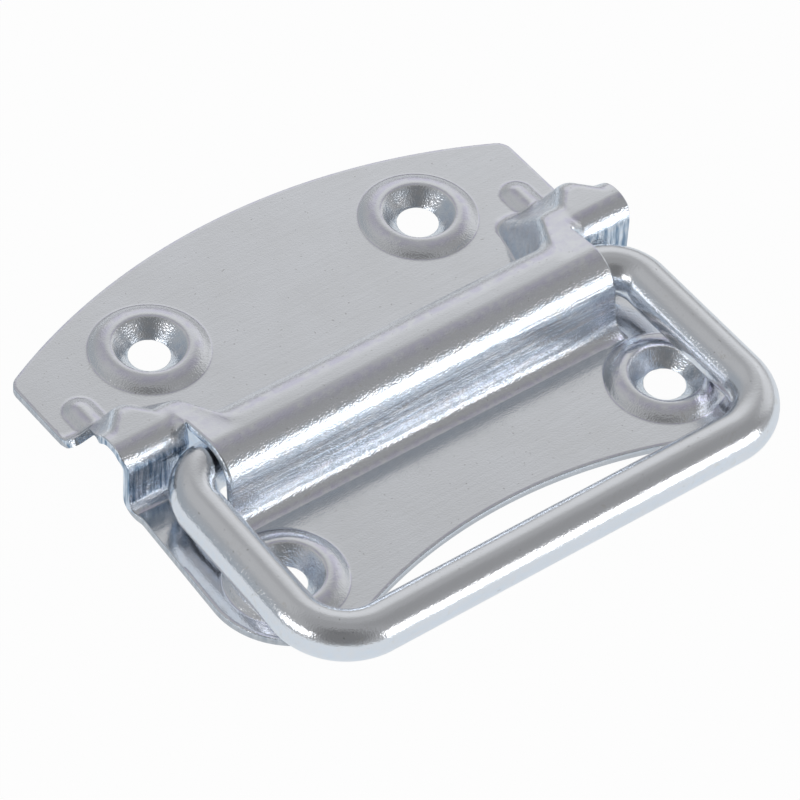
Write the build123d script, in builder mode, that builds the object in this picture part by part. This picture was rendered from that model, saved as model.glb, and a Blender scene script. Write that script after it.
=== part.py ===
"""Chest handle: a pressed sheet-steel back plate that traps a drop handle bent from round wire.

Frame, in millimetres: the back face of the plate lies on z = 0 and +Z points out of the chest.
X runs along the pivot bar and +Y towards the arched top edge of the plate.
The origin is on the back face, midway between the two upper screw holes.
"""
from dataclasses import dataclass, replace
from math import acos, asin, cos, degrees, radians, sin, sqrt, tan
import os

from build123d import *

# Sheet and wire stock
sheet = 1.2
wire_diameter = 7.0

# Screw holes: one pair above the pivot bar, a wider pair below it
upper_screw_spacing = 46.9
lower_screw_spacing = 65.5
screw_row_gap = 44.6
screw_hole_radius = 3.05
screw_mouth_radius = 5.35
boss_radius = 8.6
boss_height = 1.2
dome_brow_drop = 0.15

# Pivot bar, below the upper screws and above the back face
pivot_drop = 26.6
pivot_height = 7.1
bar_clearance = 0.5

# Plate outline
upper_width = 86.5
ear_width = 87.2
strip_width = 85.0
lobe_corner_width = 90.2
top_edge_radius = 93.8
top_edge_rise = 15.8
bottom_edge_radius = 73.8
bottom_edge_drop = 50.1
top_corner_radius = 2.5
side_tip_drop = 9.0
side_tip_radius = 1.2
side_notch_depth = 3.0
ear_flare_length = 7.0
ear_side_drop = 21.6
strip_side_drop = 25.1
edge_blend_radius = 2.0
lobe_radius = 12.0

# Channel pressed up over the pivot bar
channel_length = 66.2
crown_flat = 1.1
channel_foot_radius = 1.5

# Ears, where the channel widens backwards into a stop for the raised handle
ear_gap = 0.35
ear_height = 11.2
ear_radius = 3.6
ear_flat = 0.5
ear_back_slope = 46.0
ear_front_foot_radius = 1.8
ear_back_foot_radius = 2.3

# Shoulder that widens the channel into the ear: its side slants by this run over this length
shoulder_length = 4.3
shoulder_run = 12.4

# Hump on the back of each ear, with a slanted side to its left and right
hump_spacing = 76.8
hump_top_length = 1.6
hump_side_length = 2.9
hump_reach = 3.0
hump_slope = 58.0
hump_foot_radius = 1.8
hump_root = 0.3

# The hollow's slanted sides start later by this share of the sheet, so that they don't thin it
slant_set_in = 0.5

# Rib that runs from the back of each ear onto the upper plate
rib_spacing = 76.2
rib_radius = 3.0
rib_rise = 1.0
rib_end_drop = 4.2
rib_end_slope = 25.0

# Drop handle
pivot_bar_width = 76.2
grip_width = 77.2
grip_drop = 35.1
grip_rest_height = 5.7
pivot_bend_radius = 6.2
grip_bend_radius = 8.3
wire_end_gap = 1.6

wire_radius = wire_diameter / 2
pivot_y = -pivot_drop
channel_end = channel_length / 2
plate_height = pivot_height + wire_diameter + sheet
sides = (-1, 1)


@dataclass
class Crown:
    """Cross-section of the raised sheet: front wall, two crown arcs with a flat between, back slope."""

    front_foot: float
    front_y: float
    front_z: float
    front_radius: float
    back_y: float
    back_z: float
    back_radius: float
    back_slope: float
    back_foot: float

    def profile(self, x, inset, square_front=False):
        """Face under the crown at x, moved in from the outer face of the sheet by inset."""
        base = sheet - inset
        bottom = base - sheet
        front_radius = self.front_radius - inset
        back_radius = self.back_radius - inset
        front_foot = self.front_foot + inset
        back_foot = self.back_foot + inset
        wall_y = self.front_y - front_radius
        slope = radians(self.back_slope)
        start_y = self.back_y + back_radius * sin(slope)
        start_z = self.back_z + back_radius * cos(slope)
        foot_y = start_y + (back_foot - (base + back_foot - start_z) * cos(slope)) / sin(slope)
        with BuildSketch(Plane.YZ.offset(x)) as face:
            with BuildLine():
                back_centre = (self.back_y, self.back_z)
                foot_centre = (foot_y, base + back_foot)
                back = CenterArc(back_centre, back_radius, 90, -self.back_slope)
                foot = CenterArc(foot_centre, back_foot, 270 - self.back_slope, self.back_slope)
                Line(back @ 1, foot @ 0)
                if square_front:
                    top = Line((self.front_y, self.front_z + front_radius), back @ 0)
                    Polyline(foot @ 1, (foot_y, bottom), (self.front_y, bottom), top @ 0)
                else:
                    front = CenterArc((wall_y - front_foot, base + front_foot), front_foot, -90, 90)
                    crown = CenterArc((self.front_y, self.front_z), front_radius, 180, -90)
                    Line(front @ 1, crown @ 0)
                    Line(crown @ 1, back @ 0)
                    Polyline(foot @ 1, (foot_y, bottom), (wall_y - front_foot, bottom), front @ 0)
            make_face()
        return face.sketch


channel_radius = wire_radius + bar_clearance + sheet
channel_crown = Crown(
    front_foot=channel_foot_radius,
    front_y=pivot_y,
    front_z=pivot_height,
    front_radius=channel_radius,
    back_y=pivot_y + crown_flat,
    back_z=pivot_height,
    back_radius=channel_radius,
    back_slope=90.0,
    back_foot=channel_foot_radius,
)
ear_front_y = pivot_y + wire_radius + ear_gap + ear_radius
ear_crown = Crown(
    front_foot=ear_front_foot_radius,
    front_y=ear_front_y,
    front_z=ear_height - ear_radius,
    front_radius=ear_radius,
    back_y=ear_front_y + ear_flat,
    back_z=ear_height - ear_radius,
    back_radius=ear_radius,
    back_slope=ear_back_slope,
    back_foot=ear_back_foot_radius,
)
hump_crown = replace(
    ear_crown,
    back_y=ear_crown.back_y + hump_reach,
    back_slope=hump_slope,
    back_foot=hump_foot_radius,
)
# The shoulder carries the back of the ear forward to the middle of the channel
shoulder_crown = replace(ear_crown, front_y=pivot_y)


def slanted_form(crown, start, end, way, inset):
    """Back half of a crown from start to end, with a side slanting from start into the next form."""
    face = crown.profile(start, inset, square_front=True)
    with BuildPart() as form:
        extrude(face, amount=end - start, dir=(1, 0, 0))
        extrude(face, amount=Vector(way).length, dir=way)
        split(bisect_by=Plane((0, crown.front_y, 0), z_dir=(0, 1, 0)), keep=Keep.TOP)
    return form.part


def raised_form(inset):
    """Right half of the pressed form: its outer face at inset 0, the hollow behind it at inset sheet."""
    ear_start = channel_end - sheet
    ear_reach = ear_width / 2 - ear_start + sheet
    set_in = inset * slant_set_in
    hump_x = hump_spacing / 2
    hump_half = hump_top_length / 2 - set_in
    hump_run = hump_reach + hump_root
    rib_x = rib_spacing / 2
    rib_z = sheet + rib_rise - rib_radius
    rib_start = (rib_x, ear_crown.back_y, rib_z)
    rib_tip_y = rib_radius - rib_end_drop
    rib_tip_z = rib_z - rib_radius * tan(radians(rib_end_slope))
    with BuildPart() as form:
        extrude(channel_crown.profile(0, inset), amount=channel_end, dir=(1, 0, 0))
        extrude(ear_crown.profile(ear_start, inset), amount=ear_reach, dir=(1, 0, 0))
        shoulder_side = (-shoulder_length, -shoulder_run, 0)
        add(slanted_form(shoulder_crown, ear_start + set_in, channel_end, shoulder_side, inset))
        for side in sides:
            hump_side = (side * hump_side_length, -hump_run, 0)
            add(slanted_form(hump_crown, hump_x + side * hump_half, hump_x, hump_side, inset))
        with BuildLine() as rib_line:
            Polyline(rib_start, (rib_x, -rib_end_drop, rib_z), (rib_x, rib_tip_y, rib_tip_z))
        with BuildSketch(Plane(rib_start, z_dir=(0, 1, 0))):
            Circle(rib_radius - inset)
        sweep(path=rib_line.wires()[0], transition=Transition.RIGHT)
    return form.part


def plan_corner(sketch, x, y):
    """The corner of a plan outline nearest to a point."""
    return sketch.vertices().sort_by_distance((x, y, 0))[0]


# Half of the outline seen from above, from the arched top edge round to the waist
half_upper = upper_width / 2
half_ear = ear_width / 2
half_strip = strip_width / 2
half_lobe = lobe_corner_width / 2
half_notch = half_upper - side_notch_depth
top_centre_y = top_edge_rise - top_edge_radius
bottom_centre_y = -bottom_edge_drop - bottom_edge_radius
top_corner_y = top_centre_y + sqrt(top_edge_radius**2 - half_upper**2)
lobe_corner_y = bottom_centre_y + sqrt(bottom_edge_radius**2 - half_lobe**2)
ear_side_y = -side_tip_drop - ear_flare_length
with BuildSketch() as outline:
    with BuildLine():
        top_angle = degrees(acos(half_upper / top_edge_radius))
        lobe_angle = degrees(acos(half_lobe / bottom_edge_radius))
        top_edge = CenterArc((0, top_centre_y), top_edge_radius, 90, top_angle - 90)
        bottom_edge = CenterArc((0, bottom_centre_y), bottom_edge_radius, lobe_angle, 90 - lobe_angle)
        Polyline(
            top_edge @ 1,
            (half_upper, -side_tip_drop),
            (half_notch, -side_tip_drop),
            (half_ear, ear_side_y),
            (half_ear, -ear_side_drop),
            (half_strip, -strip_side_drop),
            bottom_edge @ 0,
        )
        Line(bottom_edge @ 1, top_edge @ 0)
    make_face()
    fillet(plan_corner(outline, half_upper, top_corner_y), top_corner_radius)
    fillet(plan_corner(outline, half_upper, -side_tip_drop), side_tip_radius)
    fillet(plan_corner(outline, half_ear, ear_side_y), edge_blend_radius)
    fillet(plan_corner(outline, half_ear, -ear_side_drop), edge_blend_radius)
    fillet(plan_corner(outline, half_strip, -strip_side_drop), edge_blend_radius)
    fillet(plan_corner(outline, half_lobe, lobe_corner_y), lobe_radius)
    mirror(about=Plane.YZ)

# Screw boss: the section of its sheet, turned about the screw's axis.
# Its dome is three cones, from 45 degrees at the plate to nearly level at the mouth.
boss_top = sheet + boss_height
throat_z = boss_top - (screw_mouth_radius - screw_hole_radius)
cone_back_radius = screw_hole_radius - throat_z + sheet * sqrt(2)
dome_knee_radius = boss_radius - boss_height / 2
dome_brow_radius = (dome_knee_radius + screw_mouth_radius) / 2
dome_back_radius = boss_radius - sheet * tan(radians(45 / 2))
with BuildPart() as boss:
    with BuildSketch(Plane.XZ):
        with BuildLine():
            Polyline(
                (boss_radius, sheet),
                (dome_knee_radius, sheet + boss_height / 2),
                (dome_brow_radius, boss_top - dome_brow_drop),
                (screw_mouth_radius, boss_top),
                (screw_hole_radius, throat_z),
                (screw_hole_radius, 0),
                (cone_back_radius, 0),
                (cone_back_radius + boss_height, boss_height),
                (dome_back_radius, 0),
                (boss_radius, 0),
                close=True,
            )
        make_face()
    revolve(axis=Axis.Z)

screw_points = [(side * upper_screw_spacing / 2, 0) for side in sides]
screw_points += [(side * lower_screw_spacing / 2, -screw_row_gap) for side in sides]

punch = raised_form(0)
cavity = raised_form(sheet)

with BuildPart() as back_plate:
    extrude(outline.sketch, amount=sheet)
    add(punch)
    add(punch.mirror(Plane.YZ))
    add(cavity, mode=Mode.SUBTRACT)
    add(cavity.mirror(Plane.YZ), mode=Mode.SUBTRACT)
    extrude(outline.sketch, amount=plate_height, mode=Mode.INTERSECT)
    with Locations(*screw_points):
        Cylinder(boss_radius, 2 * plate_height, mode=Mode.SUBTRACT)
        add(boss.part)


# The wire is bent flat. Its grip then rests lower than its pivot, so it lies a little below level
rest_droop = degrees(asin((pivot_height - grip_rest_height) / grip_drop))
with BuildPart() as bent_wire:
    with BuildLine() as wire:
        FilletPolyline(
            (wire_end_gap / 2, 0),
            (pivot_bar_width / 2, 0),
            (grip_width / 2, -grip_drop),
            (-grip_width / 2, -grip_drop),
            (-pivot_bar_width / 2, 0),
            (-wire_end_gap / 2, 0),
            radius=[pivot_bend_radius, grip_bend_radius, grip_bend_radius, pivot_bend_radius],
        )
    with BuildSketch(Plane(wire.line @ 0, z_dir=wire.line % 0)):
        Circle(wire_radius)
    sweep(path=wire.line)
with BuildPart() as drop_handle:
    with Locations(Plane((0, pivot_y, pivot_height)).rotated((rest_droop, 0, 0))):
        add(bent_wire.part)

os.makedirs("parts", exist_ok=True)
back_plate.part.label = "back_plate"
drop_handle.part.label = "drop_handle"
for piece in (back_plate, drop_handle):
    export_step(piece.part, f"parts/{piece.part.label}.step")
    box = piece.part.bounding_box()
    print(piece.part.label, "solids", len(piece.part.solids()), "volume", round(piece.part.volume, 1), box)
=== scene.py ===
# %% [markdown]
# # Dressing a chest handle
# A chest handle is two pieces of steel: a plate pressed from sheet, and a wire handle that the
# plate traps. The packed model has both at their real size, but with coarse facets, and plated
# steel shows every facet in its reflections. So this lesson builds both again as fine meshes on the
# same sizes, and gives them a bright zinc finish. The points are worked out in millimetres, as on a
# drawing, and become metres when a mesh is made.

from math import asin, atan2, cos, degrees, hypot, pi, radians, sin, sqrt
from types import SimpleNamespace

import bmesh
import bpy
import numpy as np
from mathutils import Matrix, Vector
from mathutils.geometry import delaunay_2d_cdt


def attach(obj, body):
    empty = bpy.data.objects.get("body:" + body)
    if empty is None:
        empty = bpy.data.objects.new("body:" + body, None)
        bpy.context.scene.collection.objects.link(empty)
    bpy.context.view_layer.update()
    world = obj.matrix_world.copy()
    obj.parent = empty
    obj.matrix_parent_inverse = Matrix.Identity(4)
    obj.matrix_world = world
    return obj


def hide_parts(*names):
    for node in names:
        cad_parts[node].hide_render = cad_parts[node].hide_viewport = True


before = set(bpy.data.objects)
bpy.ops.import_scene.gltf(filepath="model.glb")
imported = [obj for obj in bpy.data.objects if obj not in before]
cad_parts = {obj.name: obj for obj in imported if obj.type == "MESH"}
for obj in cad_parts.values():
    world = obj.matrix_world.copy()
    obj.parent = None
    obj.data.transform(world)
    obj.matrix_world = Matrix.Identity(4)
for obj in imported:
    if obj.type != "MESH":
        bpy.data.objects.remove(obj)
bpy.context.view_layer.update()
MM = 0.001

# %% [markdown]
# ## The camera
# The picture was taken with a long lens from above the left front corner, so parallel edges stay
# almost parallel. The camera is placed by two angles and a distance round a point on the plate,
# then rolled by a few degrees. The three columns of its rotation are its right, its up and its
# back, because a Blender camera looks along its -Z. A constraint that tracks a point would aim it
# too, but it leaves no room for the roll.

# %% Camera
view_azimuth = radians(40.66)
view_height = radians(46.54)
view_roll = radians(4.80)
look_at = Vector((0.33, -26.31, 0.0)) * MM
camera_distance = 751.9 * MM

back = Vector((
    -sin(view_azimuth) * cos(view_height),
    -cos(view_azimuth) * cos(view_height),
    sin(view_height),
))
level_right = Vector((cos(view_azimuth), -sin(view_azimuth), 0.0))
level_up = back.cross(level_right)
right = cos(view_roll) * level_right + sin(view_roll) * level_up
up = cos(view_roll) * level_up - sin(view_roll) * level_right

camera_data = bpy.data.cameras.new("camera")
camera_data.lens = 244.8
camera_data.sensor_width = 36.0
camera_data.clip_start = 0.05
camera = bpy.data.objects.new("camera", camera_data)
bpy.context.scene.collection.objects.link(camera)
turn = Matrix((right, up, back)).transposed().to_4x4()
camera.matrix_world = Matrix.Translation(look_at + back * camera_distance) @ turn
bpy.context.scene.camera = camera
print("camera at", [round(v, 4) for v in camera.matrix_world.translation])

# %% [markdown]
# ## Shader sums written as sums
# A material is a graph of nodes. Wiring each sum by hand hides what it means, so one small class
# holds an output and adds a Math node whenever Python adds, subtracts or multiplies it. Each
# operator has a reflected form too, so that `1 - mask` works. A ramp between two values is needed
# so often that it is a method of the signal.

# %% Signals
class Signal:
    """One output in a node graph, which can be used in a sum like a number."""

    def __init__(self, graph, socket):
        self.graph = graph
        self.socket = socket

    def math(self, operation, *values):
        """A Math node with these values."""
        return self.graph.node("ShaderNodeMath", {"operation": operation}, dict(enumerate(values)))

    def __add__(self, other):
        return self.math("ADD", self, other)

    def __radd__(self, other):
        return self.math("ADD", other, self)

    def __sub__(self, other):
        return self.math("SUBTRACT", self, other)

    def __rsub__(self, other):
        return self.math("SUBTRACT", other, self)

    def __mul__(self, other):
        return self.math("MULTIPLY", self, other)

    def __rmul__(self, other):
        return self.math("MULTIPLY", other, self)

    def larger(self, other):
        """The larger of this signal and another."""
        return self.math("MAXIMUM", self, other)

    def between(self, low, high, start=0.0, end=1.0, easing="LINEAR"):
        """Start at low, end at high, and a ramp between the two. Low may be the larger number."""
        settings = {"interpolation_type": easing, "clamp": True}
        return self.graph.node("ShaderNodeMapRange", settings, {
            "Value": self, "From Min": low, "From Max": high, "To Min": start, "To Max": end})


print("operators", [name for name in vars(Signal) if name.startswith("__r")])

# %% [markdown]
# ## One way to make a node
# Every node comes from one method. It takes the node's type, then its settings, because some
# settings change which sockets there are, and then a value or a link for each socket. Colours go
# through a Mix node and directions through Vector Math, since a Math node would turn a colour grey.

# %% Graphs
class Graph:
    """The nodes of a material or of the world."""

    def __init__(self, owner):
        owner.use_nodes = True
        self.tree = owner.node_tree
        self.tree.nodes.clear()

    def node(self, kind, settings=None, inputs=None, output=0):
        """Adds a node, sets it up, then gives its sockets their values or links."""
        made = self.tree.nodes.new(kind)
        for name, value in (settings or {}).items():
            setattr(made, name, value)
        for name, value in (inputs or {}).items():
            if isinstance(value, Signal):
                self.tree.links.new(value.socket, made.inputs[name])
            else:
                made.inputs[name].default_value = value
        return Signal(self, made.outputs[output]) if made.outputs else None

    def mix(self, share, a, b):
        """The colour that lies this share of the way from a to b."""
        inputs = {"Factor": share, "A": a, "B": b}
        return self.node("ShaderNodeMix", {"data_type": "RGBA"}, inputs, "Result")

    def dot(self, a, b):
        """How far the direction a goes along b."""
        settings = {"operation": "DOT_PRODUCT"}
        return self.node("ShaderNodeVectorMath", settings, {0: a, 1: b}, "Value")


print("graph helpers", [name for name in vars(Graph) if not name.startswith("_")])

# %% [markdown]
# ## Floor
# Bright metal has hardly any colour of its own: it shows the room. So the room comes before the
# metal. The floor is one plain white square under the plate. It lies a hair below the plate's back
# face, because two faces in the same place would flicker. As a stage it is lit and seen, but is no
# part of the handle.

# %% White floor
floor_reach = 2.5
floor_drop = 0.02 * MM

square = ((-1, -1), (1, -1), (1, 1), (-1, 1))
floor_corners = [(x * floor_reach, y * floor_reach, 0) for x, y in square]
floor_mesh = bpy.data.meshes.new("floor")
floor_mesh.from_pydata(floor_corners, [], [(0, 1, 2, 3)])
floor = bpy.data.objects.new("floor", floor_mesh)
floor.location.z = -floor_drop
bpy.context.scene.collection.objects.link(floor)
print("floor", floor_reach * 2, "m wide")

# %% [markdown]
# A white floor could be lit until it is white, but then the handle would be too bright. So most of
# its light is its own where the camera sees it, and the rest comes from the room, which keeps the
# handle's soft shadow. What the metal mirrors of it is dimmer and a little cool, and dimmer still
# beyond the handle, as if the floor ended there.

# %% Floor finish
own_share = 0.97
mirrored_near = 0.66
mirrored_far = 0.36
fade_length = 0.12

ahead = Vector((sin(view_azimuth), cos(view_azimuth), 0.0))
floor_finish = bpy.data.materials.new("white_floor")
graph = Graph(floor_finish)
seen = graph.node("ShaderNodeLightPath", output="Is Camera Ray")
mirrored = graph.node("ShaderNodeLightPath", output="Is Glossy Ray")
through = graph.node("ShaderNodeLightPath", output="Is Transmission Ray")
beyond = graph.dot(graph.node("ShaderNodeTexCoord", output="Object"), tuple(ahead))
in_metal = beyond.between(0.0, fade_length, mirrored_near, mirrored_far, "SMOOTHSTEP")
own_light = (seen * own_share).larger(mirrored * in_metal).larger(through * own_share)

paper = graph.node("ShaderNodeBsdfDiffuse", inputs={"Color": (0.86, 0.86, 0.86, 1)})
cast = graph.mix(mirrored, (1, 1, 1, 1), (0.90, 0.955, 1.0, 1))
glow = graph.node("ShaderNodeEmission", inputs={"Color": cast, "Strength": 1.0})
floor_light = graph.node("ShaderNodeMixShader", inputs={0: own_light, 1: paper, 2: glow})
graph.node("ShaderNodeOutputMaterial", inputs={"Surface": floor_light})
floor_mesh.materials.append(floor_finish)
print("floor finish", len(graph.tree.nodes), "nodes")

# %% [markdown]
# ## Room
# The room is a soft grey tent. An image of a studio could light it, but a few soft patches tell
# better what each part of the handle mirrors. Directions are given as the camera sees them: an
# angle to its right, from 0 straight ahead to 180 behind it, and a height above the floor.

# %% Places in the room
room = bpy.data.worlds.new("grey_tent")
bpy.context.scene.world = room
tent_graph = Graph(room)
direction = tent_graph.node("ShaderNodeTexCoord", output="Generated")


def toward(to_right, height):
    """Unit vector to a place in the room."""
    level = ahead * cos(radians(to_right)) + level_right * sin(radians(to_right))
    return level * cos(radians(height)) + Vector((0, 0, sin(radians(height))))


def patch(to_right, height, inner, outer):
    """1 within the inner angle round a place in the room, easing to 0 at the outer angle."""
    nearness = tent_graph.dot(direction, tuple(toward(to_right, height)))
    return nearness.between(cos(radians(outer)), cos(radians(inner)), easing="SMOOTHSTEP")


print("straight ahead", [round(v, 2) for v in toward(0, 0)])

# %% [markdown]
# Each patch makes the tent lighter or darker round one place. The wall ahead is lighter, and that
# is what the flats of the plate mirror. Behind the camera and overhead it is darker, which shades
# the front of each screw boss. Past the floor's edge the camera itself sees plain white, while the
# metal still mirrors the tent there.

# %% Grey tent
tent_level = 0.42

level = tent_level + 0.31 * patch(0, 25, 4, 32) - 0.20 * patch(0, -6, 8, 26)
level = level - 0.10 * patch(74, 45, 10, 36) + 0.30 * patch(44, 24, 8, 27)
level = level + 0.07 * patch(-66, 54, 10, 27) - 0.07 * patch(180, 80, 14, 33)
level = level - 0.22 * patch(172, 35, 10, 45)
tent_colour = tent_graph.mix(patch(-80, -12, 20, 62), (0.97, 0.985, 1.0, 1), (0.84, 0.92, 1.0, 1))
tent = tent_graph.node("ShaderNodeBackground", inputs={"Color": tent_colour, "Strength": level})
backdrop = tent_graph.node("ShaderNodeBackground", inputs={"Color": (1, 1, 1, 1), "Strength": 1.0})
in_view = tent_graph.node("ShaderNodeLightPath", output="Is Camera Ray")
shown = tent_graph.node("ShaderNodeMixShader", inputs={0: in_view, 1: tent, 2: backdrop})
tent_graph.node("ShaderNodeOutputWorld", inputs={"Surface": shown})
print("room", len(tent_graph.tree.nodes), "nodes")

# %% [markdown]
# ## Lamps
# Two softboxes stand low in the tent. The one in front of the handle draws the long white line
# along the channel and the grip. The one at the left edges the plate and its bosses. Each is sized
# by the angle that it fills, since that is how wide its mirror image is, and its power follows from
# the brightness of its face.

# %% Softboxes
lamp_distance = 0.8


def softbox(name, to_right, height, width, tallness, brightness):
    """An area lamp that fills these angles as the handle sees it."""
    lamp = bpy.data.lights.new(name, "AREA")
    lamp.shape = "RECTANGLE"
    lamp.size = 2 * lamp_distance * sin(radians(width / 2))
    lamp.size_y = 2 * lamp_distance * sin(radians(tallness / 2))
    lamp.energy = brightness * pi * lamp.size * lamp.size_y
    holder = bpy.data.objects.new(name, lamp)
    bpy.context.scene.collection.objects.link(holder)
    way = toward(to_right, height)
    holder.location = look_at + way * lamp_distance
    holder.rotation_euler = way.to_track_quat("Z", "Y").to_euler()
    print(name, round(lamp.size, 2), "x", round(lamp.size_y, 2), "m,", round(lamp.energy, 2), "W")


softbox("front_softbox", 109, 13, 34, 27, 1.9)
softbox("left_softbox", -131, 21, 40, 20, 1.9)

# %% [markdown]
# ## The section of the pressing
# The channel and the ears are one sheet, so one kind of cross-section serves for both: a foot on
# the plate, a wall, a crown of two arcs and a slope down to a second foot. Ten numbers give it, in
# millimetres and degrees, and along the plate one set goes over into the next. Separate solids
# joined by fillets would show where they meet.

# %% Sizes of the pressing
sheet = 1.2
pivot_y = -26.6
pivot_z = 7.1
wire_radius = 3.5
bar_clearance = 0.5
channel_end = 33.1
channel_radius = wire_radius + bar_clearance + sheet

front_names = ("front_foot", "front_slope", "front_y", "front_z", "front_radius")
back_names = ("back_y", "back_z", "back_radius", "back_slope", "back_foot")
channel_front = [2.8, 82.0, pivot_y - 0.35, pivot_z - 0.2, channel_radius + 0.2]
channel_back = [pivot_y + 1.1, pivot_z, channel_radius, 90.0, 1.5]
ear_front = [1.8, 89.0, -19.15, 7.6, 3.6]
ear_back = [-18.65, 7.6, 3.6, 46.0, 2.3]

channel = np.array(channel_front + channel_back)
ear = np.array(ear_front + ear_back)
shoulder = np.array(channel_front + ear_back)
hump = ear + np.array([0, 0, 0, 0, 0, 3.0, 0, 0, 12.0, -0.5])
print("channel", dict(zip(front_names + back_names, channel.round(2).tolist())))

# %% [markdown]
# ## Lines with rounded corners
# A press tool has no sharp corners, and neither has bent wire. So most lines of this handle are
# drawn as a few straight runs, and each corner is replaced by an arc that touches both of its
# neighbours. A curve object with bevelled corners could do the same, but here the points are needed
# as numbers.

# %% Arcs and rounded corners
def arc(y, z, radius, start, end, count):
    """Points on an arc round (y, z), from one angle to another in degrees."""
    angles = np.radians(np.linspace(start, end, count))
    return np.stack([y + radius * np.cos(angles), z + radius * np.sin(angles)], 1)


def rounded(points, radii, count=14):
    """A polyline with arcs of these radii at its inner points."""
    result = [np.array(points[0], float)]
    for before, here, after, radius in zip(points, points[1:], points[2:], radii):
        here = np.array(here, float)
        a = np.array(before, float) - here
        b = np.array(after, float) - here
        a /= np.linalg.norm(a)
        b /= np.linalg.norm(b)
        half = np.arccos(np.clip(a @ b, -1, 1)) / 2
        middle = here + (a + b) / np.linalg.norm(a + b) * radius / np.sin(half)
        first = here + a * radius / np.tan(half) - middle
        last = here + b * radius / np.tan(half) - middle
        sweep = np.arctan2(first[0] * last[1] - first[1] * last[0], first @ last)
        for angle in np.linspace(0, sweep, count):
            c, s = cos(angle), sin(angle)
            result.append(middle + (first[0] * c - first[1] * s, first[0] * s + first[1] * c))
    result.append(np.array(points[-1], float))
    return np.array(result)


print("a rounded corner has", len(rounded([(0, 0), (1, 0), (1, 1)], [0.2])), "points")

# %% [markdown]
# ## Shoulders and humps
# Seen from above, the back of the pressing runs straight along the channel, slants back at the
# shoulder, and has one hump on each ear. Read at any x, such a line tells how far the section has
# gone over from one set of numbers to the next. Drawn in plan, a corner is as round as on the real
# plate, which a plain ramp would not be.

# %% Plans of shoulder and hump
shoulder_run = 12.4
shoulder_points = [(0, 0), (28.2, 0), (31.4, shoulder_run), (50, shoulder_run)]
shoulder_plan = rounded(shoulder_points, [2.2, 2.2])

hump_reach = 3.0
hump_points = [(0, 0), (34.9, 0), (37.6, hump_reach), (39.2, hump_reach), (42.1, 0), (50, 0)]
hump_plan = rounded(hump_points, [1.6, 1.4, 1.4, 1.6])


def inner_numbers(x):
    """The ten numbers at x, from the channel into its shoulder."""
    return channel + (shoulder - channel) * np.interp(x, *shoulder_plan.T) / shoulder_run


def outer_numbers(x):
    """The ten numbers at x, on the ear."""
    return ear + (hump - ear) * np.interp(x, *hump_plan.T) / hump_reach


print("half way up the shoulder", inner_numbers(29.8).round(2).tolist())

# %% [markdown]
# ## One section
# The ten numbers become a line of points. Each foot is placed so that the straight side between it
# and the crown touches both arcs, so the line has no corner anywhere. A spline through a few points
# would be shorter to write, but it would not keep the true radii that the pivot bar turns in.

# %% Points of a section
foot_count = 24
front_count = 60
back_count = 48
tail_start = 2 + foot_count + front_count + back_count // 2


def foot_distance(height, radius, slope, foot):
    """How far a foot's centre lies from its crown's centre, with a straight side between them."""
    slope = radians(slope)
    fall = height + radius * cos(slope) - sheet - foot
    return radius * sin(slope) + (foot + fall * cos(slope)) / sin(slope)


def section(numbers, from_y, to_y):
    """Points (y, z) of the outer face, from the flat in front of the pressing to the one behind."""
    front_foot, front_slope, front_y, front_z, front_radius = numbers[:5]
    back_y, back_z, back_radius, back_slope, back_foot = numbers[5:]
    run, rise = back_y - front_y, back_z - front_z
    tilt = degrees(asin((front_radius - back_radius) / hypot(run, rise)) - atan2(rise, run))
    front_foot_y = front_y - foot_distance(front_z, front_radius, front_slope, front_foot)
    back_foot_y = back_y + foot_distance(back_z, back_radius, back_slope, back_foot)
    return np.concatenate([
        [(from_y, sheet)],
        arc(front_foot_y, sheet + front_foot, front_foot, -90, front_slope - 90, foot_count),
        arc(front_y, front_z, front_radius, 90 + front_slope, 90 - tilt, front_count),
        arc(back_y, back_z, back_radius, 90 - tilt, 90 - back_slope, back_count),
        arc(back_foot_y, sheet + back_foot, back_foot, 270 - back_slope, 270, foot_count),
        [(to_y, sheet)],
    ])


channel_line = section(channel, -36.0, 0.0)
print("channel section", len(channel_line), "points, top at", round(channel_line[:, 1].max(), 2))

# %% [markdown]
# ## The outline of the plate
# The plate is blanked to one outline. Its upper half has an arched top edge, round corners, and a
# notch where each tip ends in front of the ear. Half of it is enough, because the plate is
# symmetric. It is drawn with arcs and lines as on a shop drawing, and not traced, so that its edges
# stay clean.

# %% Outline of the upper half
half_upper = 43.25
tip_y = -9.0
notch_x = half_upper - 3.0
notch_radius = 1.2
top_radius = 93.8
top_centre = 15.8 - top_radius
top_corner_radius = 2.5


def arc_points(centre_y, radius, x_from, x_to, side, step=0.8):
    """Points on a wide arc round the plate's middle line, above its centre or below it."""
    xs = np.linspace(x_from, x_to, max(2, int(abs(x_to - x_from) / step)))
    return [(x, centre_y + side * sqrt(radius * radius - x * x)) for x in xs]


corner_x = half_upper - top_corner_radius
corner_y = top_centre + sqrt((top_radius - top_corner_radius) ** 2 - corner_x**2)
corner_angle = degrees(atan2(corner_y - top_centre, corner_x))
top_edge = arc_points(top_centre, top_radius, 0, top_radius * cos(radians(corner_angle)), 1)
top_corner = arc(corner_x, corner_y, top_corner_radius, corner_angle, 0, 10)
tip = rounded([(half_upper, corner_y), (half_upper, tip_y), (notch_x, tip_y)], [notch_radius])
upper_outline = np.concatenate([top_edge, top_corner[1:], tip[1:]])
print("top corner at", round(corner_x, 2), round(corner_y, 2))

# %% [markdown]
# Below the ears the sides run in to the round lobes at the lower screws, and a waist between the
# lobes leaves room for fingers. Each lobe touches the straight side above it and the arc of the
# waist. Its centre lies one lobe radius inside the side's line, as far along it as leaves both
# radii between it and the waist's centre.

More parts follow.
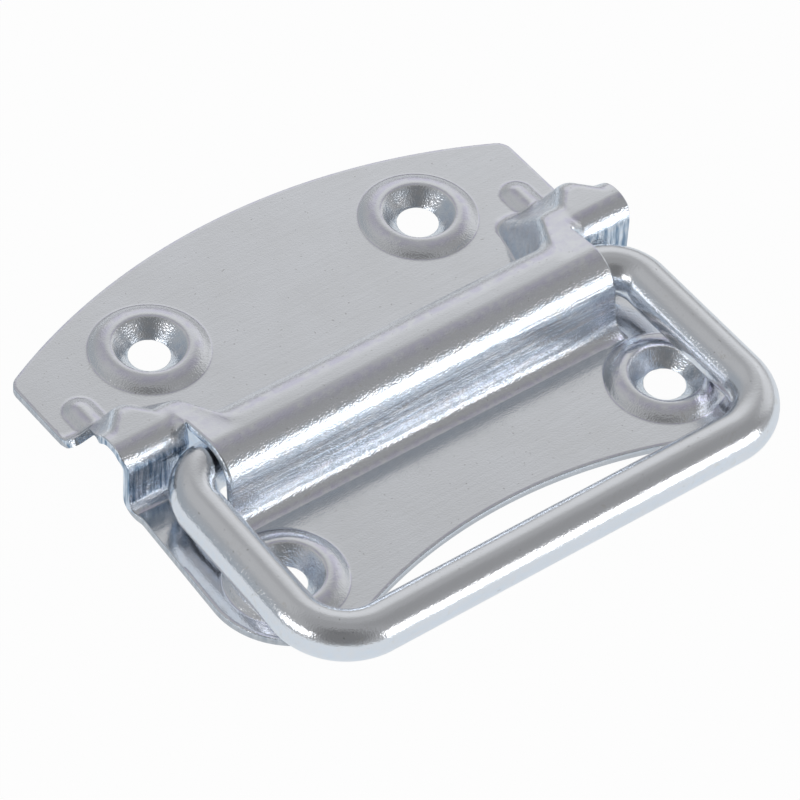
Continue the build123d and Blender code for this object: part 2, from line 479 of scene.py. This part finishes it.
# %% Outline of the lower half
half_ear = 43.6
half_strip = 42.5
flare_y = -16.0
ear_low_y = -21.6
strip_y = -25.1
side_corner_radius = 2.0
lobe_x = 45.1
lobe_radius = 12.0
waist_radius = 73.8
waist_centre = -50.1 - waist_radius

side_top = np.array([half_strip, strip_y])
side_low = np.array([lobe_x, waist_centre + sqrt(waist_radius**2 - lobe_x**2)])
side_way = (side_low - side_top) / np.linalg.norm(side_low - side_top)
inward = np.array([side_way[1], -side_way[0]])
start = side_top + inward * lobe_radius - np.array([0, waist_centre])
along_side = -(start @ side_way)
apart = waist_radius + lobe_radius
reach = along_side - sqrt(along_side**2 - (start @ start - apart**2))
lobe_centre = side_top + inward * lobe_radius + side_way * reach
lobe_from = degrees(atan2(-inward[1], -inward[0]))
lobe_to = degrees(atan2(waist_centre - lobe_centre[1], -lobe_centre[0]))
lobe = arc(*lobe_centre, lobe_radius, lobe_from, lobe_to, 44)
waist_edge = arc_points(waist_centre, waist_radius, lobe[-1][0], 0, 1)

side_points = [(notch_x, tip_y), (half_ear, flare_y), (half_ear, ear_low_y)]
side_points += [(half_strip, strip_y), lobe[0]]
side_edge = rounded(side_points, [side_corner_radius] * 3)


def side_x(y):
    """Half width of the plate at y, between the notch and the lobe."""
    return np.interp(-y, -side_edge[:, 1], side_edge[:, 0])


print("lobe centre", lobe_centre.round(2).tolist())

# %% [markdown]
# ## The raised band
# Across the middle the sheet stands up: the channel, then beyond a slit the two ears. The band is
# drawn as rows that run along the plate and columns that run across it. Rows crowd together where
# the section bends most. The slit starts at the top of the section, so the rows behind it are
# shared and those in front have two edges.

# %% Rows of one section
front_edge = -35.35
back_edge = -9.6
slit_y = -21.7
front_rows = 56
back_rows = 50
bend_weight = 1.6


def spread(points, count):
    """The same line with this many points, closer together where it bends."""
    steps = np.diff(points, axis=0)
    lengths = np.hypot(steps[:, 0], steps[:, 1])
    angles = np.unwrap(np.arctan2(steps[:, 1], steps[:, 0]))
    turns = np.abs(np.diff(angles, prepend=angles[0]))
    along = np.concatenate([[0], np.cumsum(lengths + bend_weight * turns)])
    wanted = np.linspace(0, along[-1], count)
    return np.stack([np.interp(wanted, along, points[:, i]) for i in (0, 1)], 1)


def rows_of(numbers):
    """Front rows up to the slit's top and back rows from it, for one section."""
    points = section(numbers, front_edge, 0.0)
    last_z = np.interp(back_edge, *points[tail_start:].T)
    points = np.vstack([points[points[:, 0] < back_edge], (back_edge, last_z)])
    ordered = points[:, 0] + 1e-7 * np.arange(len(points))
    place = np.searchsorted(ordered, slit_y)
    top = np.array([slit_y, np.interp(slit_y, ordered, points[:, 1])])
    front = spread(np.vstack([points[:place], top]), front_rows + 1)
    behind = spread(np.vstack([top, points[place:]]), back_rows + 1)
    return np.vstack([front, behind[1:]])


shoulder_rows = rows_of(shoulder)
print("rows in a section", len(shoulder_rows))

# %% [markdown]
# ## Ribs
# A rib is a low rounded bead that runs from the back of each ear onto the flat and stiffens it.
# Where two forms meet in pressed sheet the corner is never sharp, so the bead and the ear's tail
# are joined with a smooth maximum. A boolean union would leave a crease there.

# %% Rib
rib_x = 38.1
rib_radius = 3.0
rib_start_y = -15.0
rib_end_y = -4.2
rib_centre_z = sheet + 1.0 - rib_radius
rib_blend = 0.6


def with_rib(x, y, z):
    """Heights with the rib's bead joined on softly."""
    past = np.maximum(y - rib_end_y, 0)
    inside = rib_radius**2 - (x - rib_x) ** 2 - past**2
    bead = rib_centre_z + np.sqrt(np.maximum(inside, 1.0))
    share = np.clip(0.5 + 0.5 * (bead - z) / rib_blend, 0, 1)
    joined = z + (bead - z) * share + rib_blend * share * (1 - share)
    return np.where(y > rib_start_y, joined, z)


print("rib top", with_rib(rib_x, np.array([-8.0]), np.array([sheet])).round(2).tolist())

# %% [markdown]
# Behind the band the ears and their ribs still come down to the flat for a few millimetres. Their
# height there is read from the same sections as the band, so that the two parts of the surface meet
# without a step.

# %% Heights behind the band
bend_x = 26.1


def upper_height(x, y):
    """Heights of the sheet behind the band, where the ears and ribs come down to the flat."""
    z = np.full(len(x), sheet)
    near = (x > bend_x) & (y < 0) & (y > 2 * back_edge)
    steps = np.round(x[near], 1)
    part = np.empty(len(steps))
    for step in np.unique(steps):
        numbers = inner_numbers(step) if step < channel_end else outer_numbers(step)
        tail = section(numbers, front_edge, 40.0)[tail_start:]
        part[steps == step] = np.interp(y[near][steps == step], tail[:, 0], tail[:, 1])
    z[near] = with_rib(x[near], y[near], part)
    return z


print("behind the ear", upper_height(np.array([36.0]), np.array([-9.0])).round(2).tolist())

# %% [markdown]
# ## Channel and shoulder
# The inner part of the band reaches from the middle of the plate to the slit. The channel is
# straight, so a few columns carry it, and they stand close together only where the shoulder slants.
# The last two lie a tenth of a millimetre apart, which leaves room for the small radius at the cut
# edge.

# %% Inner band
edge_round = 0.13
column_gap = 0.22

straight_x = np.linspace(0, 25.5, 10)
slanted_x = np.arange(bend_x, channel_end - 0.2, column_gap)
inner_x = np.concatenate([straight_x, slanted_x, [channel_end - edge_round, channel_end]])
inner_band = []
for x in inner_x:
    line = rows_of(inner_numbers(x))
    inner_band.append(np.column_stack([np.full(len(line), x), line]))
inner_band = np.array(inner_band)
print("inner band", inner_band.shape)

# %% [markdown]
# ## Ears
# Behind the slit the ear's sheet starts from the shoulder of the channel, and settles to its own
# shape within a couple of millimetres. Its outer columns follow the side of the plate, which isn't
# straight, so each row's x depends on its y and the other way round. A few rounds of working out
# one from the other settle both.

# %% Outer band
settle_length = 2.6
settle_depth = 1.5
settle_rounds = 4


def eased(share):
    """0 to 1 with a soft start and end."""
    share = np.clip(share, 0.0, 1.0)
    return share * share * (3 - 2 * share)


def ear_column(share):
    """Points (x, y, z) of the column at this share of the way from the slit to the plate's side."""
    line = rows_of(ear)
    x = np.full(len(line), channel_end + share * (half_ear - channel_end))
    for _ in range(settle_rounds):
        lines = {}
        for i in range(len(line)):
            key = round(float(x[i]), 3)
            if key not in lines:
                lines[key] = rows_of(outer_numbers(key))
            line[i] = lines[key][i]
        x = channel_end + share * (side_x(line[:, 0]) - channel_end)
    weight = (1 - eased((x - channel_end) / settle_length))[:, None]
    lift = shoulder_rows[front_rows] - line[front_rows]
    depth = np.linalg.norm(line[:front_rows] - line[front_rows], axis=1)[:, None]
    line[front_rows:] += (shoulder_rows[front_rows:] - line[front_rows:]) * weight[front_rows:]
    line[:front_rows] += lift * weight[:front_rows] * (1 - eased(depth / settle_depth))
    line[:, 1] = with_rib(x, line[:, 0], line[:, 1])
    return np.column_stack([x, line])


last_gap = edge_round / (half_ear - channel_end)
shares = np.concatenate([[0, 0.013], np.linspace(0.04, 0.985, 38), [1 - last_gap, 1.0]])
outer_band = np.array([ear_column(share) for share in shares])
outer_band[0, front_rows:] = inner_band[-1, front_rows:]
outer_band[0, 0] = inner_band[-1, 0]
print("outer band", outer_band.shape)

# %% [markdown]
# ## Screw bosses
# The sheet round each screw hole is drawn up into a low dome, then countersunk, so that the screw's
# head ends below its rim. The dome, its rounded rim and the cone are one turned profile: a height
# for each distance from the screw's axis. A cone of 90 degrees takes a standard countersunk head.

# %% Boss profile
hole_radius = 3.05
crest_radius = 5.7
crest_rise = 1.2
dome_reach = 8.6 - crest_radius
mouth_round = 0.85
foot_round = 0.6

crest_z = sheet + crest_rise
dome_arc = (dome_reach**2 + crest_rise**2) / (2 * crest_rise)
dome_z = crest_z - dome_arc
foot_z = sheet + foot_round
foot_r = crest_radius + sqrt((dome_arc + foot_round) ** 2 - (foot_z - dome_z) ** 2)
meet = degrees(atan2(foot_z - dome_z, foot_r - crest_radius))
cone_top = arc(crest_radius, crest_z - mouth_round, mouth_round, 135, 90, 9)
throat_z = cone_top[0][1] - (cone_top[0][0] - hole_radius)
boss = np.concatenate([
    [(hole_radius - 0.02, 0.03), (hole_radius, throat_z)],
    np.linspace((hole_radius, throat_z), cone_top[0], 6)[1:-1],
    cone_top,
    arc(crest_radius, dome_z, dome_arc, 90, meet, 14)[1:],
    arc(foot_r, foot_z, foot_round, 180 + meet, 270, 7)[1:],
    [(foot_r + 0.25, sheet)],
])
boss_radius = boss[-1][0]
print("boss rings", len(boss), "throat at", round(throat_z, 2), "foot ends at", round(foot_r, 2))

# %% [markdown]
# ## Points of a flat
# Above and below the band the sheet is flat but for the bosses and the tails of the ears. A grid of
# squares can't meet a round boss and a curved edge, so each flat is a set of points that is joined
# afterwards: rings round the hole, a grid between them, and two lines just inside the edge, which
# keep the flat level up to its rim.

# %% Rings, fences and grids
boss_turns = 96
fence_gap = 0.5
upper_hole = (46.9 / 2, 0.0)
lower_hole = (65.5 / 2, -44.6)


def rings_at(x, y):
    """Points of one boss, ring by ring."""
    turns = np.arange(boss_turns) * 2 * pi / boss_turns
    points = []
    for i, (r, z) in enumerate(boss):
        shifted = turns + (i % 2) * pi / boss_turns
        flat_part = (x + r * np.cos(shifted), y + r * np.sin(shifted))
        points.append(np.column_stack([*flat_part, np.full(boss_turns, z)]))
    return np.concatenate(points)


def fences(edge, turn_in):
    """Two lines of points just inside the edge, without those past the plate's middle."""
    way = np.gradient(edge, axis=0)
    side = np.stack([way[:, 1], -way[:, 0]], 1) * turn_in / np.linalg.norm(way, axis=1)[:, None]
    found = []
    for distance in (edge_round, fence_gap):
        fence = edge + side * distance
        fence[np.abs(fence[:, 0]) < 0.05, 0] = 0
        found.append(fence[fence[:, 0] >= 0])
    return np.concatenate(found)


def clear_of(grid, edge, hole):
    """The points of a grid that keep off the edge and the boss."""
    away = np.hypot(grid[:, 0] - hole[0], grid[:, 1] - hole[1]) > boss_radius + 0.2
    nearest = np.min(np.hypot(*(grid[:, None] - edge[None]).transpose(2, 0, 1)), axis=1)
    return grid[away & (nearest > 0.8)]


def grid_of(xs, ys):
    """Points at every pair of these x and y."""
    return np.stack(np.meshgrid(xs, ys), -1).reshape(-1, 2)


print("points of one boss", len(rings_at(*upper_hole)))

# %% [markdown]
# ## Joining the points
# A constrained triangulation joins any set of points and keeps a given border, so the flat gets
# exactly the edge that the outline has and the row where the band ends. It works in plan, and each
# point's height is put back afterwards. The triangles over the screw hole are left out.

# %% Flat
def flat(row, edge, turn_in, hole, grid):
    """Vertices and triangles of one flat, from a row of the band and the plate's edge to x = 0."""
    border = np.concatenate([row, np.column_stack([edge, upper_height(*edge.T)])])
    plain = np.concatenate([fences(edge, turn_in), clear_of(grid, edge, hole)])
    plain = np.column_stack([plain, upper_height(*plain.T)])
    points = np.concatenate([border, rings_at(*hole), plain])
    loop = [(i, (i + 1) % len(border)) for i in range(len(border))]
    in_plan = [Vector((float(x), float(y))) for x, y in points[:, :2]]
    verts, _, faces, origins, _, _ = delaunay_2d_cdt(in_plan, loop, [], 1, 1e-4)
    heights = np.array([points[o[0], 2] if o else sheet for o in origins])
    result = np.column_stack([np.array([tuple(v) for v in verts]), heights])
    kept = []
    for face in faces:
        x, y = result[list(face), :2].mean(0)
        if hypot(x - hole[0], y - hole[1]) > hole_radius - 0.06:
            kept.append(list(face))
    return result, kept


def resampled(line, step):
    """The same outline with its long runs divided."""
    result = [line[0]]
    for a, b in zip(line, line[1:]):
        pieces = max(1, int(np.hypot(*(b - a)) / step))
        result += [a + (b - a) * (i + 1) / pieces for i in range(pieces)]
    return np.array(result)


ten_mm = np.array([(0.0, 0.0), (10.0, 0.0)])
print("a run of 10 mm in steps of 1 mm has", len(resampled(ten_mm, 1.0)), "points")

# %% [markdown]
# ## The two flats
# The upper flat needs a fine grid where the tails of the ears and the ribs come down. Elsewhere a
# coarse grid is enough, since a flat has no shape to show. The finer the grid, the longer the
# triangulation takes.

# %% Upper and lower flat
coarse_gap = 3.0
fine_gap = 0.3
edge_gap = 0.9

coarse = grid_of(np.arange(1.5, 45, coarse_gap), np.arange(-56.5, 16, coarse_gap))
fine = grid_of(np.arange(bend_x, 42.9, fine_gap), np.arange(back_edge + fine_gap, -1.1, fine_gap))
fine = fine[(fine[:, 1] > tip_y + fine_gap) | (fine[:, 0] < notch_x - fine_gap)]
plain_part = (coarse[:, 1] > -1) | (coarse[:, 1] > -9) & (coarse[:, 0] < 26)
upper_grid = np.concatenate([coarse[plain_part], fine])
lower_grid = coarse[coarse[:, 1] < front_edge - 0.5]

row_end = np.concatenate([inner_band[:, -1], outer_band[1:, -1]])
upper_line = resampled(upper_outline, edge_gap)[::-1]
upper_verts, upper_faces = flat(row_end, upper_line, -1, upper_hole, upper_grid)

row_start = np.concatenate([inner_band[:, 0], outer_band[1:, 0]])
side_ys = np.arange(front_edge - edge_gap, lobe[0][1] + 0.4, -edge_gap)
side_line = np.array([(side_x(y), y) for y in side_ys])
lower_line = np.concatenate([side_line, lobe, waist_edge[1:]])
lower_verts, lower_faces = flat(row_start, lower_line, 1, lower_hole, lower_grid)
print("upper flat", len(upper_faces), "triangles, lower flat", len(lower_faces))

# %% [markdown]
# ## The outer skin
# The two flats and the two parts of the band are put in one mesh, mirrored to the other half and
# welded where they meet. A Mirror modifier would do this too, but the next step needs the normals
# of the whole skin.

# %% Outer skin
weld_distance = 0.002


def band_faces(band, offset):
    """Four-sided faces between the columns of a band, whose points start at this offset."""
    columns, count = band.shape[:2]
    faces = []
    for c in range(columns - 1):
        for r in range(count - 1):
            a = offset + c * count + r
            faces.append((a, a + count, a + count + 1, a + 1))
    return faces


parts = [inner_band.reshape(-1, 3), outer_band.reshape(-1, 3), upper_verts, lower_verts]
starts = np.cumsum([0] + [len(part) for part in parts]).tolist()
faces = band_faces(inner_band, starts[0]) + band_faces(outer_band, starts[1])
faces += [[i + starts[2] for i in face] for face in upper_faces]
faces += [[i + starts[3] for i in face] for face in lower_faces]

skin = bmesh.new()
made = [skin.verts.new(point) for point in np.concatenate(parts)]
for face in faces:
    skin.faces.new([made[i] for i in face])
half = skin.verts[:] + skin.edges[:] + skin.faces[:]
bmesh.ops.mirror(skin, geom=half, axis="X", merge_dist=0.0)
bmesh.ops.remove_doubles(skin, verts=skin.verts, dist=weld_distance)
bmesh.ops.recalc_face_normals(skin, faces=skin.faces)
if max(skin.faces, key=lambda f: f.calc_center_median().z).normal.z < 0:
    bmesh.ops.reverse_faces(skin, faces=skin.faces)
skin.normal_update()
odd_edges = [e for e in skin.edges if len(e.link_faces) not in (1, 2)]
print("skin", len(skin.verts), "points", len(skin.faces), "faces, odd edges", len(odd_edges))

# %% [markdown]
# ## The inner skin
# Sheet metal has the same thickness all over, so the inner skin is the outer one moved in along its
# normals. A Solidify modifier does that as well, but under the bosses the countersink has squeezed
# the sheet, and there the inner skin comes from the turned profile. Nothing goes below the back
# face, which lies on the chest.

# %% Inner skin
holes = [(side * x, y) for x, y in (upper_hole, lower_hole) for side in (-1, 1)]
squeezed = 1.1


def from_holes(vertex):
    """Distance from the nearest screw's axis."""
    return min(hypot(vertex.co.x - x, vertex.co.y - y) for x, y in holes)


def inner_place(vertex):
    """Where the inner skin lies under a point of the outer one."""
    point = vertex.co - vertex.normal * sheet
    r = from_holes(vertex)
    if r < boss_radius:
        cone = throat_z + (r - hole_radius) - sheet * sqrt(2)
        dome = float(np.interp(r, *boss.T)) - sheet * squeezed
        point = Vector((vertex.co.x, vertex.co.y, min(cone, dome)))
    return Vector((point.x, point.y, max(point.z, 0.0)))


inner_places = {vertex: inner_place(vertex) for vertex in skin.verts}
print("lowest point", round(min(place.z for place in inner_places.values()), 3))

# %% [markdown]
# ## Rim and mesh
# A rim of four-sided faces closes the two skins at every free edge. Before that, the outer skin's
# own edge is lowered by a tenth of a millimetre, for the small radius that a blanking press leaves.
# The edges of the screw holes stay as the boss profile gives them. Then the plate becomes a mesh in
# metres.

# %% Pressed plate
plate_sharp_angle = radians(52)

outer_faces = skin.faces[:]
rim = [e for e in skin.edges if len(e.link_faces) == 1]
for vertex in {v for e in rim for v in e.verts}:
    if from_holes(vertex) > crest_radius:
        vertex.co -= vertex.normal * edge_round
copies = {vertex: skin.verts.new(place) for vertex, place in inner_places.items()}
for edge in rim:
    corner = edge.link_loops[0]
    a, b = corner.vert, corner.link_loop_next.vert
    skin.faces.new((b, a, copies[a], copies[b]))
for face in outer_faces:
    skin.faces.new([copies[v] for v in reversed(face.verts)])

plate_mesh = bpy.data.meshes.new("pressed_plate")
bmesh.ops.scale(skin, vec=(MM, MM, MM), verts=skin.verts)
skin.to_mesh(plate_mesh)
skin.free()
plate_mesh.shade_smooth()
plate_mesh.set_sharp_from_angle(angle=plate_sharp_angle)
plate = bpy.data.objects.new("pressed_plate", plate_mesh)
bpy.context.scene.collection.objects.link(plate)
print("plate faces", len(plate_mesh.polygons))

# %% [markdown]
# ## The line of the wire
# One round wire is bent at four corners, with its two ends turned in towards each other inside the
# channel. Its middle line lies in one plane. The handle lies a little below level, since its grip
# comes to rest near the plate while its pivot sits high in the channel.

# %% Middle line
leg_at_pivot = 38.1
leg_at_grip = 38.6
grip_drop = 35.1
rest_z = 5.7
half_gap = 0.8
pivot_bend = 6.2
grip_bend = 8.3
droop = asin((pivot_z - rest_z) / grip_drop)

wire_points = [(half_gap, 0), (leg_at_pivot, 0), (leg_at_grip, -grip_drop), (0, -grip_drop)]
half_path = resampled(rounded(wire_points, [pivot_bend, grip_bend], 40), 2.0)
path = np.concatenate([half_path, (half_path[:-1] * (-1, 1))[::-1]])
way = np.gradient(path, axis=0)
way /= np.linalg.norm(way, axis=1)[:, None]
across = np.stack([-way[:, 1], way[:, 0]], 1)


def in_place(points):
    """Puts points given along the handle's own plane (x, y, height) in their place on the plate."""
    x, y, z = points.T
    lying_y = pivot_y + y * cos(droop) - z * sin(droop)
    lying_z = pivot_z + y * sin(droop) + z * cos(droop)
    return np.column_stack([x, lying_y, lying_z])


print("middle line", len(path), "points, droop", round(degrees(droop), 2), "degrees")

# %% [markdown]
# ## The wire handle
# A circle is carried along the middle line, and each circle is joined to the next one. A curve
# object with a round bevel would give the same tube, but its flat ends would have no chamfer.

# %% Wire handle
wire_turns = 56
chamfer = 0.5
cut_radius = wire_radius - chamfer

stations = [(path[0], across[0], cut_radius)]
stations += [(path[0] + way[0] * chamfer, across[0], wire_radius)]
stations += [(point, side, wire_radius) for point, side in zip(path[1:-1], across[1:-1])]
stations += [(path[-1] - way[-1] * chamfer, across[-1], wire_radius)]
stations += [(path[-1], across[-1], cut_radius)]
circle = np.arange(wire_turns) * 2 * pi / wire_turns
circles = []
for point, side, radius in stations:
    level_part = point + np.outer(np.cos(circle) * radius, side)
    circles.append(np.column_stack([level_part, np.sin(circle) * radius]))

wire_faces = []
for i in range(len(stations) - 1):
    first, second = i * wire_turns, (i + 1) * wire_turns
    for j in range(wire_turns):
        k = (j + 1) % wire_turns
        wire_faces.append((first + j, first + k, second + k, second + j))
last = (len(stations) - 1) * wire_turns
wire_faces += [tuple(range(wire_turns))[::-1], tuple(range(last, last + wire_turns))]
print("circles", len(circles), "faces", len(wire_faces))

# %% [markdown]
# The faces have to look outwards for the light to fall on them rightly, and Blender works that out
# for a closed mesh. Smooth shading hides the facets, apart from the chamfered ends, which stay
# sharp by their angle.

# %% Handle object
wire_sharp_angle = radians(35)

handle_mesh = bpy.data.meshes.new("wire_handle")
handle_mesh.from_pydata((in_place(np.concatenate(circles)) * MM).tolist(), [], wire_faces)
turned = bmesh.new()
turned.from_mesh(handle_mesh)
bmesh.ops.recalc_face_normals(turned, faces=turned.faces)
turned.to_mesh(handle_mesh)
turned.free()
handle_mesh.shade_smooth()
handle_mesh.set_sharp_from_angle(angle=wire_sharp_angle)
handle = bpy.data.objects.new("wire_handle", handle_mesh)
bpy.context.scene.collection.objects.link(handle)
print("handle faces", len(handle_mesh.polygons))

# %% [markdown]
# ## Where the zinc changes
# Zinc plating copies the steel under it, so a flat is satin and a drawn bend is shiny. Up close it
# isn't even, so first come the masks: soft clouds and fine noises, and then places that follow from
# the shape. Which way a face looks tells a wall or a bend from a flat, a point's height tells the
# cut edge, and its x tells the ears. Painted masks would do too, but these follow the mesh when it
# changes.

# %% Marks
cut_below = 1.12
cut_full = 1.02
ear_from = 33.0
ear_full = 34.5


def noise(graph, place, size, detail=3.0, stretch=(1, 1, 1), rough=0.5):
    """Noise with lumps of this size in millimetres; a small stretch draws it out on that axis."""
    settings = {"operation": "MULTIPLY"}
    stretched = graph.node("ShaderNodeVectorMath", settings, {0: place, 1: stretch})
    inputs = {"Vector": stretched, "Scale": 1 / (size * MM), "Detail": detail, "Roughness": rough}
    return graph.node("ShaderNodeTexNoise", inputs=inputs)


def marks(graph, drawn):
    """Masks and noises of plated steel; drawn is how the forming marks are stretched."""
    place = graph.node("ShaderNodeTexCoord", output="Object")
    facing = graph.node("ShaderNodeTexCoord", output="Normal")
    upright = graph.node("ShaderNodeSeparateXYZ", inputs={"Vector": facing}, output="Z")
    height = graph.node("ShaderNodeSeparateXYZ", inputs={"Vector": place}, output="Z")
    aside = graph.node("ShaderNodeSeparateXYZ", inputs={"Vector": place}, output="X")
    m = SimpleNamespace()
    m.cloud = noise(graph, place, 9.0).between(0.35, 0.7)
    m.mottle = noise(graph, place, 1.4)
    m.grain = noise(graph, place, 0.25, 1.0)
    m.lines = noise(graph, place, 0.9, 3.0, drawn)
    m.streaks = noise(graph, place, 0.55, 2.0, (1, 1, 0.1)).between(0.38, 0.66, 0.0, 1.5)
    m.specks = noise(graph, place, 0.5, 1.0).between(0.74, 0.78)
    m.wall = upright.between(0.75, 0.15)
    m.steep = upright.between(0.80, 0.70)
    m.bend = upright.between(0.995, 0.9)
    m.onset = upright.between(0.9995, 0.985) * upright.between(0.88, 0.96)
    m.stain = noise(graph, place, 2.2, 4.0, rough=0.7).between(0.60, 0.72) * m.bend
    m.cut = height.between(cut_below * MM, cut_full * MM) * upright.between(0.5, 0.2)
    beside = (aside * aside).between((ear_from * MM) ** 2, (ear_full * MM) ** 2)
    m.ear = beside * upright.between(0.45, 0.25)
    return m


print("ear marks from", ear_from, "mm, cut edge below", cut_below, "mm")

# %% [markdown]
# ## Colours of the zinc and painted reflections
# The plating is a nearly white blue grey. Steep walls get a painted bluer reflection, slopes and
# cones a painted darker blue grey, and the fronts of the ears painted dark blue streaks of
# reflection. A violet tinge runs along each line where a bend starts. A few warm stains and dark
# specks are spread over it, and the cut edge is duller. Each tint is laid over the ones before it
# by its own mask.

# %% Zinc colour
pale_zinc = (0.862, 0.870, 0.900, 1)
cloud_zinc = (0.82, 0.823, 0.838, 1)
tint = {
    # painted reflection: steep walls get a blue colour for the room that they mirror
    "painted wall reflection": (0.75, 0.87, 1.0, 1),
    "warm stain": (0.72, 0.68, 0.60, 1),
    "dark speck": (0.45, 0.44, 0.43, 1),
    # painted reflection: slopes and screw cones get a darker blue grey for what they mirror
    "painted slope reflection": (0.66, 0.74, 0.84, 1),
    # painted reflection: dark blue streaks on the upright fronts of the ears
    "painted ear reflection": (0.16, 0.26, 0.38, 1),
    "bend onset": (0.70, 0.67, 0.84, 1),
    "cut edge": (0.60, 0.60, 0.61, 1),
}


def zinc_colour(graph, m, painted_wall_blue, violet_and_painted_blue):
    """Base colour of the plating and its painted reflections, with these strengths of its painted
    wall blue, and of its bend lines and painted slope and ear blues.
    """
    shares = {
        "painted wall reflection": m.wall * painted_wall_blue * m.lines.between(0.3, 0.7),
        "warm stain": m.stain * 0.35,
        "dark speck": m.specks * 0.5,
        "painted slope reflection": m.steep * violet_and_painted_blue * m.mottle.between(0.35, 0.6),
        "painted ear reflection": m.ear * violet_and_painted_blue * m.streaks,
        "bend onset": m.onset * violet_and_painted_blue * m.mottle.between(0.3, 0.6),
        "cut edge": m.cut * 0.8,
    }
    colour = graph.mix(m.cloud * 0.5, pale_zinc, cloud_zinc)
    for name, share in shares.items():
        colour = graph.mix(share, colour, tint[name])
    return colour


print("zinc tints", list(tint))

# %% [markdown]
# ## Bright zinc
# One finish serves both pieces, with different strengths. The sheet has forming lines along the
# channel and a stronger grain on its bends, and the wire is smoother, since it was drawn through a
# die. The relief is far too fine for the mesh, so it is a bump, and it only breaks up the edges of
# each reflection.

# %% Zinc finish
def zinc(name, drawn, painted_wall_blue, violet_and_painted_blue, wall_depth, bend_grain):
    """Plated steel with these strengths of its colours and of its relief."""
    material = bpy.data.materials.new(name)
    graph = Graph(material)
    m = marks(graph, drawn)
    colour = zinc_colour(graph, m, painted_wall_blue, violet_and_painted_blue)
    rough = 0.11 + 0.04 * m.cloud + 0.04 * m.mottle.between(0.4, 0.7)
    rough = rough + 0.10 * m.stain + 0.25 * m.cut
    relief = m.grain * (0.012 + bend_grain * m.bend) + m.mottle * 0.006
    relief = relief + m.lines * (0.012 + wall_depth * m.wall)
    bump = graph.node("ShaderNodeBump", inputs={"Height": relief, "Strength": 1.0, "Distance": MM})
    steel = graph.node("ShaderNodeBsdfPrincipled", inputs={
        "Base Color": colour, "Metallic": 1.0, "Roughness": rough, "Normal": bump})
    graph.node("ShaderNodeOutputMaterial", inputs={"Surface": steel})
    return material


plate_mesh.materials.append(zinc("plated_sheet", (0.08, 1, 1), 0.8, 0.6, 0.13, 0.045))
handle_mesh.materials.append(zinc("plated_wire", (0.5, 1, 1), 0.3, 0.0, 0.01, 0.012))
print("materials", [m.name for m in bpy.data.materials])

# %% [markdown]
# ## In place of the coarse solids
# Each fine mesh now takes over from its coarse solid and moves with the same body.

# %% Take over
takers = (
    (plate, "back_plate", "plate", "plated_sheet"),
    (handle, "drop_handle", "handle", "plated_wire"),
)
for piece, node, body, slot in takers:
    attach(piece, body)
    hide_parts(node)
bpy.context.scene.view_settings.view_transform = "Standard"
